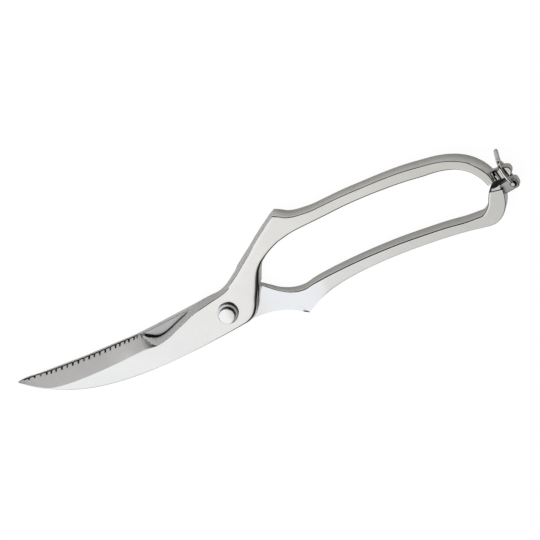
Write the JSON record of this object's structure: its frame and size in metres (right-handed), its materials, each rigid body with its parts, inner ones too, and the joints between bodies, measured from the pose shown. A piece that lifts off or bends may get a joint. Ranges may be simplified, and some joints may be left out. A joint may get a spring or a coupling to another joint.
{
  "type": "poultry shears",
  "caption": "Forged steel poultry shears with curved blades, a serrated lower edge and bone notch, finger spurs, a flat-headed screw pivot and a wire bail that latches the grips closed.",
  "frame": {"origin": "on the pivot axis, in the plane of the pivot nut's back face, which is the plane the closed shears rest on", "axes": "+X along the shears from the pivot towards the latch, with the blades towards -X; +Y towards the upper grip; +Z along the pivot axis towards the screw head"},
  "size_m": [0.2576, 0.0523, 0.0141],
  "materials": {
    "front_steel": "polished",
    "rear_steel": "polished",
    "screw_chrome": "mirror polished",
    "washer_steel": "bright",
    "bush_brass": "turned",
    "nut_steel": "satin",
    "pin_steel": "ground",
    "spring_steel": "drawn",
    "wire_steel": "polished"
  },
  "bodies": {
    "rear": {"rear_half": "rear_steel", "pivot_screw": "screw_chrome", "head_washer": "washer_steel", "pivot_bush": "bush_brass", "pivot_nut": "nut_steel", "stop_pin": "pin_steel", "torsion_spring": "spring_steel"},
    "front": {"front_half": "front_steel"},
    "bail": {"latch_bail": "wire_steel"}
  },
  "joints": [
    {"name": "blade_pivot", "type": "hinge", "parent": "rear", "child": "front", "pos_m": [0, 0, 0.00475], "axis": [0, 0, 1], "range_deg": [0, 36], "deforming": ["torsion_spring"]},
    {"name": "bail_hinge", "type": "hinge", "parent": "rear", "child": "bail", "pos_m": [0.1487, 0.0129, 0.00475], "axis": [0, 0, -1], "range_deg": [0, 105]}
  ]
}
